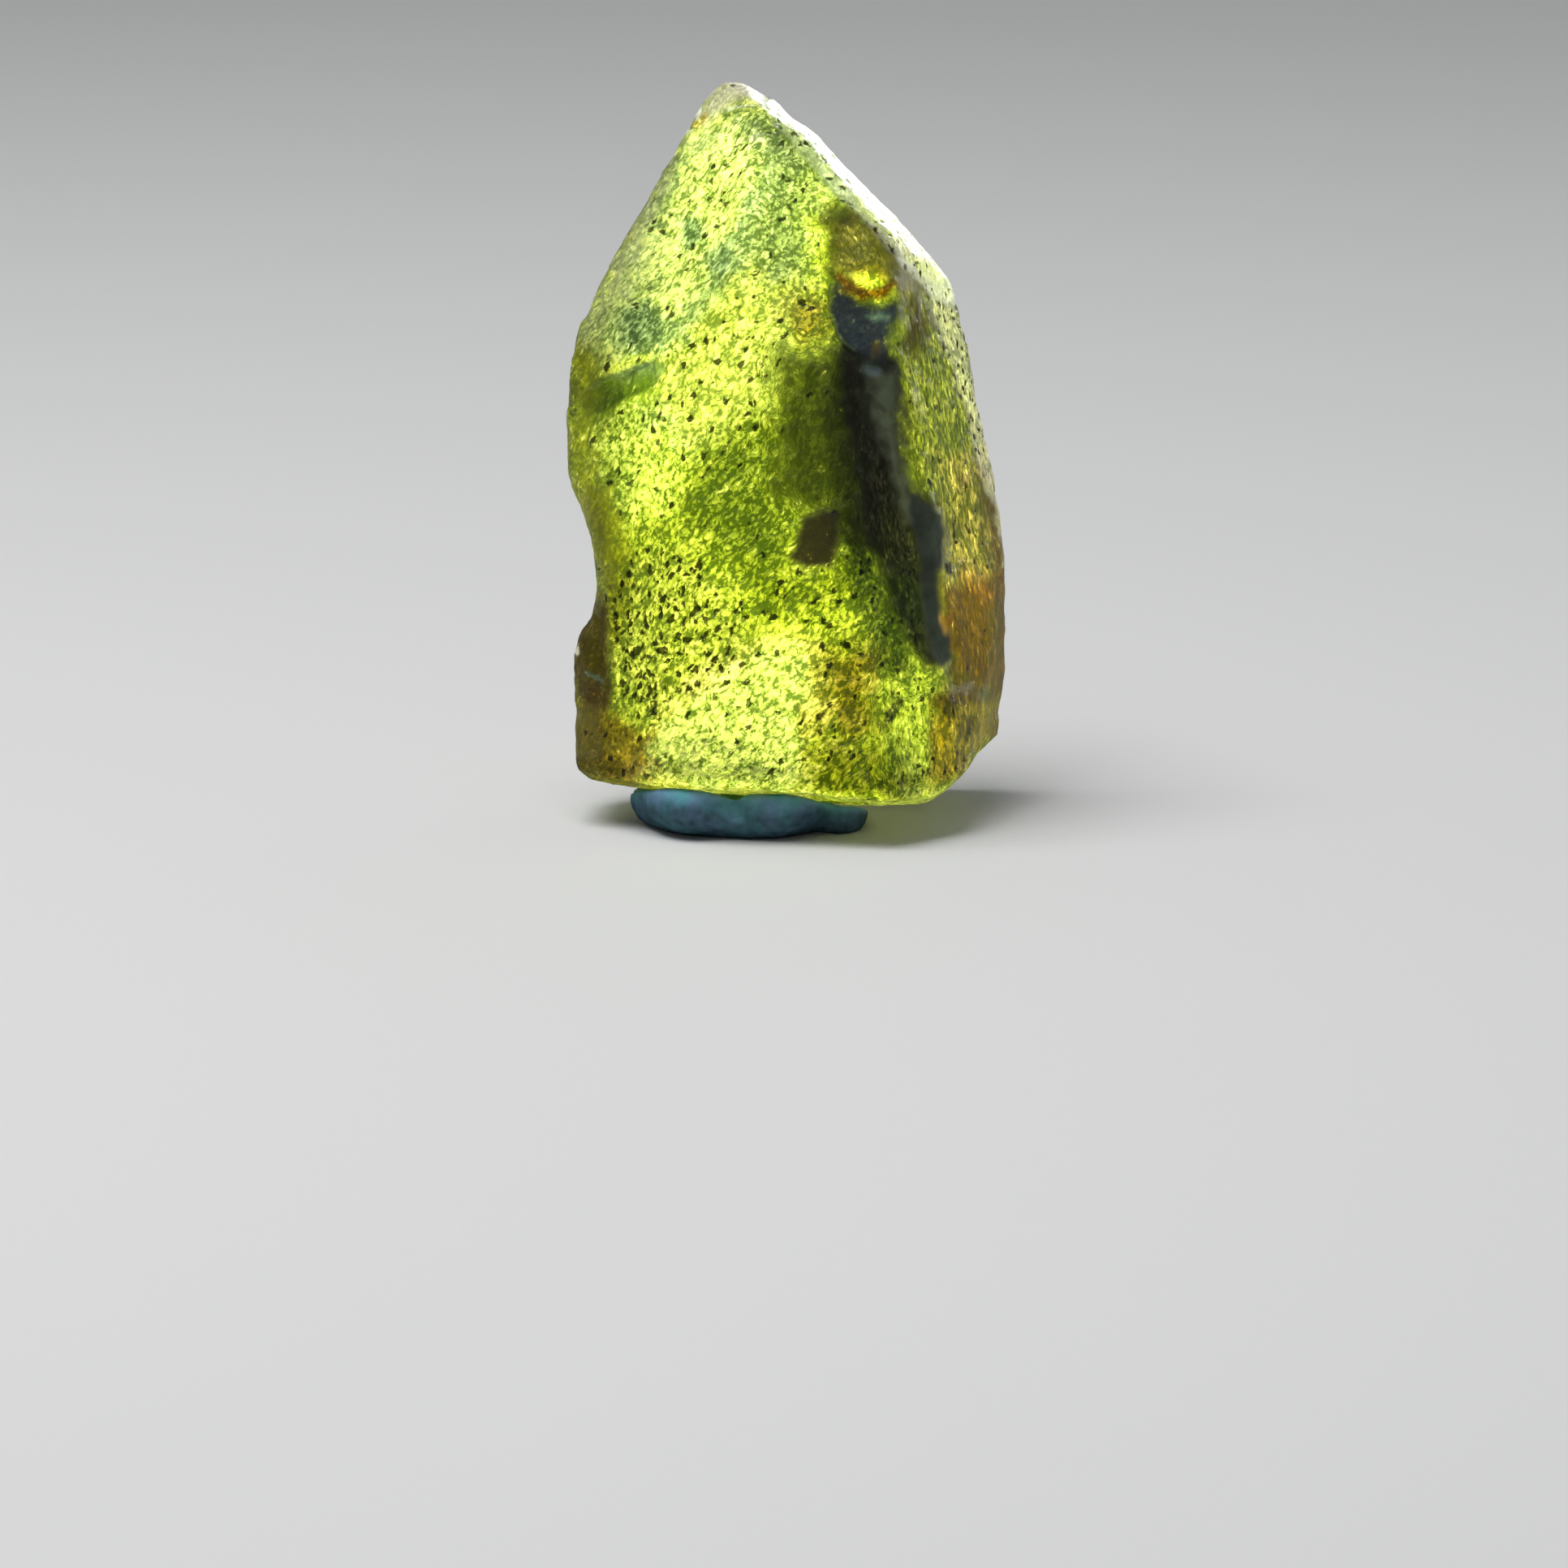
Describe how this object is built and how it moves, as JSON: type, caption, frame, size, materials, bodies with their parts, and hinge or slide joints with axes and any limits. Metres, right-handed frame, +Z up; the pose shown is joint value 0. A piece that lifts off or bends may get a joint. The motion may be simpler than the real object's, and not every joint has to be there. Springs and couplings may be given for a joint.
{
  "type": "peridot crystal",
  "caption": "Upright etched peridot crystal with a pointed top and a small crystal grown on its side, standing in a flattened roll of putty.",
  "frame": {"origin": "on the surface the putty stands on, under the middle of the object's box", "axes": "+Z up along the crystal, +X to the viewer's right, -Y towards the viewer of the broad front face"},
  "size_m": [0.0216, 0.0148, 0.0358],
  "materials": {
    "peridot": "see-through, etched",
    "putty": "matte"
  },
  "bodies": {
    "root": {"peridot_crystal": "peridot", "display_putty": "putty"}
  },
  "joints": []
}
